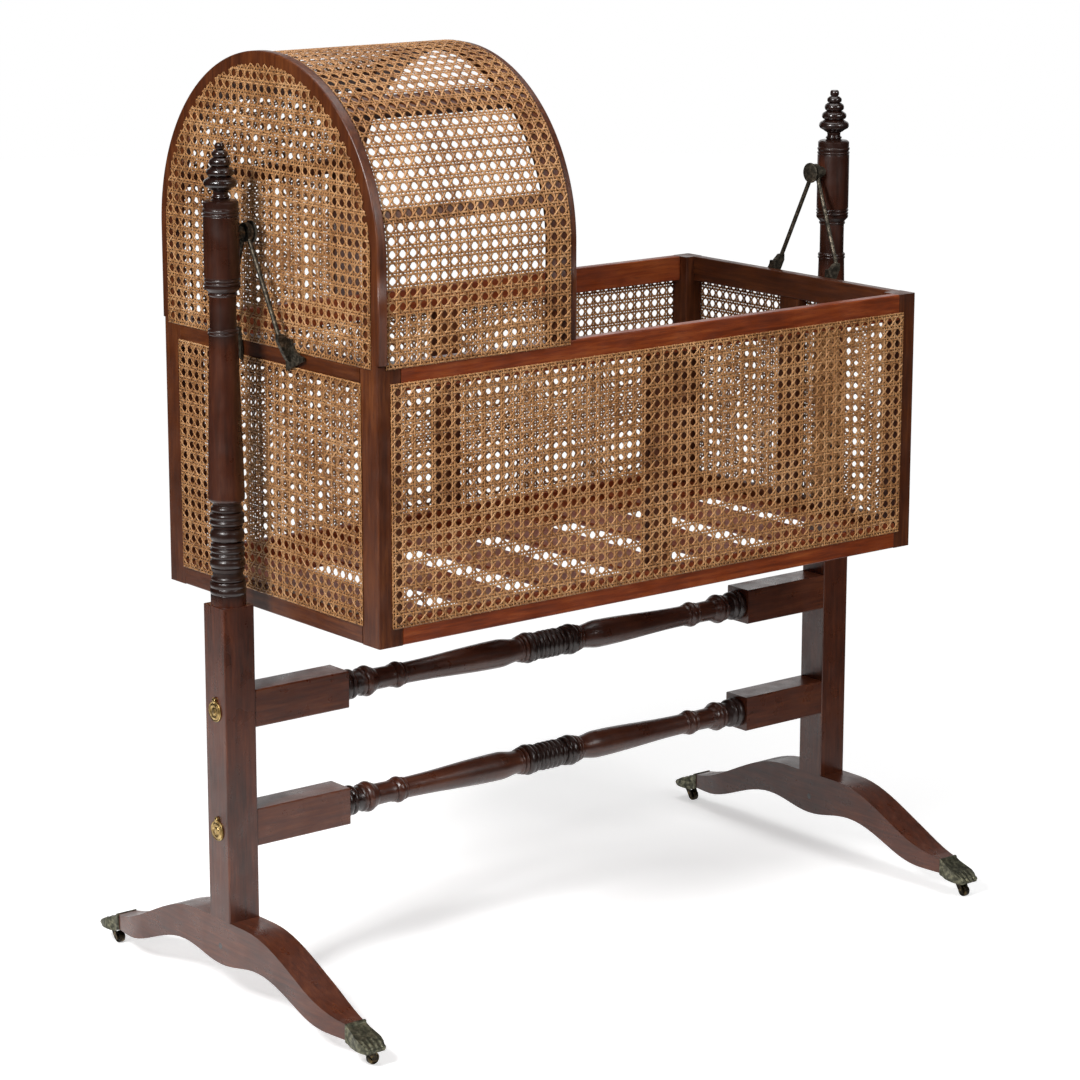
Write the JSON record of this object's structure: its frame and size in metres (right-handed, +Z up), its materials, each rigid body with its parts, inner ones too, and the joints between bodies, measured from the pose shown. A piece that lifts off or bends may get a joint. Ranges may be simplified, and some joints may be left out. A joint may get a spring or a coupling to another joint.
{
  "type": "swinging cradle on stand",
  "caption": "Cane-panelled mahogany cradle with an arched hood, hung on iron hangers between two turned uprights with sledge feet, paw caps and castors.",
  "frame": {"origin": "on the floor under the middle of the stand", "axes": "+Z up, +X towards the open end (the hood is at -X), +Y towards the back; the long side at -Y is the one that the picture shows"},
  "size_m": [1.0822, 0.6156, 1.2119],
  "materials": {
    "dark_mahogany": "satin varnish",
    "red_mahogany": "satin varnish",
    "turned_mahogany": "gloss varnish",
    "cane": "woven rattan",
    "iron": "dull",
    "brass": "aged",
    "bronze": "aged"
  },
  "bodies": {
    "stand": {"foot_hood_end": "dark_mahogany", "foot_open_end": "dark_mahogany", "foot_dowels": "dark_mahogany", "upright_hood_end": "dark_mahogany", "upright_open_end": "dark_mahogany", "stretcher_upper": "dark_mahogany", "stretcher_lower": "dark_mahogany", "finial_hood_end": "turned_mahogany", "finial_open_end": "turned_mahogany", "bed_bolts": "iron", "bed_nuts": "iron", "pivot_pin_hood_end": "iron", "pivot_pin_open_end": "iron", "cover_pins": "brass", "toe_cap_hood_front": "bronze", "toe_cap_hood_back": "bronze", "toe_cap_open_front": "bronze", "toe_cap_open_back": "bronze"},
    "cradle": {"stile_hood_front": "red_mahogany", "stile_hood_back": "red_mahogany", "stile_open_front": "red_mahogany", "stile_open_back": "red_mahogany", "side_bottom_rail_front": "red_mahogany", "side_bottom_rail_back": "red_mahogany", "side_top_rail_front": "red_mahogany", "side_top_rail_back": "red_mahogany", "end_bottom_rail_hood": "red_mahogany", "end_bottom_rail_open": "red_mahogany", "end_mid_rail_hood": "red_mahogany", "end_top_rail_open": "red_mahogany", "side_muntins": "red_mahogany", "end_muntin_open": "red_mahogany", "slat_bearers": "red_mahogany", "bottom_slats": "red_mahogany", "hood_hoop_head": "red_mahogany", "hood_hoop_mouth": "red_mahogany", "hood_battens": "red_mahogany", "cane_front": "cane", "cane_back": "cane", "cane_head_lower": "cane", "cane_head_arch": "cane", "cane_open_end": "cane", "cane_hood_cover": "cane", "hanger_hood_end": "iron", "hanger_open_end": "iron", "hanger_screws": "iron"},
    "bolt_cover_hood_upper": {"bolt_cover_hood_upper": "brass"},
    "bolt_cover_hood_lower": {"bolt_cover_hood_lower": "brass"},
    "bolt_cover_open_upper": {"bolt_cover_open_upper": "brass"},
    "bolt_cover_open_lower": {"bolt_cover_open_lower": "brass"},
    "castor_horn_hood_front": {"castor_horn_hood_front": "brass"},
    "castor_wheel_hood_front": {"castor_wheel_hood_front": "brass"},
    "castor_horn_hood_back": {"castor_horn_hood_back": "brass"},
    "castor_wheel_hood_back": {"castor_wheel_hood_back": "brass"},
    "castor_horn_open_front": {"castor_horn_open_front": "brass"},
    "castor_wheel_open_front": {"castor_wheel_open_front": "brass"},
    "castor_horn_open_back": {"castor_horn_open_back": "brass"},
    "castor_wheel_open_back": {"castor_wheel_open_back": "brass"}
  },
  "joints": [
    {"name": "cradle_swing", "type": "hinge", "parent": "stand", "child": "cradle", "pos_m": [0, 0, 0.992], "axis": [1, 0, 0], "range_deg": [-25, 25]},
    {"name": "cover_turn_hood_upper", "type": "hinge", "parent": "stand", "child": "bolt_cover_hood_upper", "pos_m": [-0.538, 0, 0.404], "axis": [1, 0, 0], "continuous": true},
    {"name": "cover_turn_hood_lower", "type": "hinge", "parent": "stand", "child": "bolt_cover_hood_lower", "pos_m": [-0.538, 0, 0.247], "axis": [1, 0, 0], "continuous": true},
    {"name": "cover_turn_open_upper", "type": "hinge", "parent": "stand", "child": "bolt_cover_open_upper", "pos_m": [0.538, 0, 0.404], "axis": [1, 0, 0], "continuous": true},
    {"name": "cover_turn_open_lower", "type": "hinge", "parent": "stand", "child": "bolt_cover_open_lower", "pos_m": [0.538, 0, 0.247], "axis": [1, 0, 0], "continuous": true},
    {"name": "castor_swivel_hood_front", "type": "hinge", "parent": "stand", "child": "castor_horn_hood_front", "pos_m": [-0.514, -0.288, 0.021], "axis": [0, 0, 1], "continuous": true},
    {"name": "wheel_roll_hood_front", "type": "hinge", "parent": "castor_horn_hood_front", "child": "castor_wheel_hood_front", "pos_m": [-0.507, -0.288, 0.008], "axis": [0, 1, 0], "continuous": true},
    {"name": "castor_swivel_hood_back", "type": "hinge", "parent": "stand", "child": "castor_horn_hood_back", "pos_m": [-0.514, 0.288, 0.021], "axis": [0, 0, 1], "continuous": true},
    {"name": "wheel_roll_hood_back", "type": "hinge", "parent": "castor_horn_hood_back", "child": "castor_wheel_hood_back", "pos_m": [-0.514, 0.281, 0.008], "axis": [1, 0, 0], "continuous": true},
    {"name": "castor_swivel_open_front", "type": "hinge", "parent": "stand", "child": "castor_horn_open_front", "pos_m": [0.514, -0.288, 0.021], "axis": [0, 0, 1], "continuous": true},
    {"name": "wheel_roll_open_front", "type": "hinge", "parent": "castor_horn_open_front", "child": "castor_wheel_open_front", "pos_m": [0.514, -0.295, 0.008], "axis": [1, 0, 0], "continuous": true},
    {"name": "castor_swivel_open_back", "type": "hinge", "parent": "stand", "child": "castor_horn_open_back", "pos_m": [0.514, 0.288, 0.021], "axis": [0, 0, 1], "continuous": true},
    {"name": "wheel_roll_open_back", "type": "hinge", "parent": "castor_horn_open_back", "child": "castor_wheel_open_back", "pos_m": [0.514, 0.281, 0.008], "axis": [1, 0, 0], "continuous": true}
  ]
}
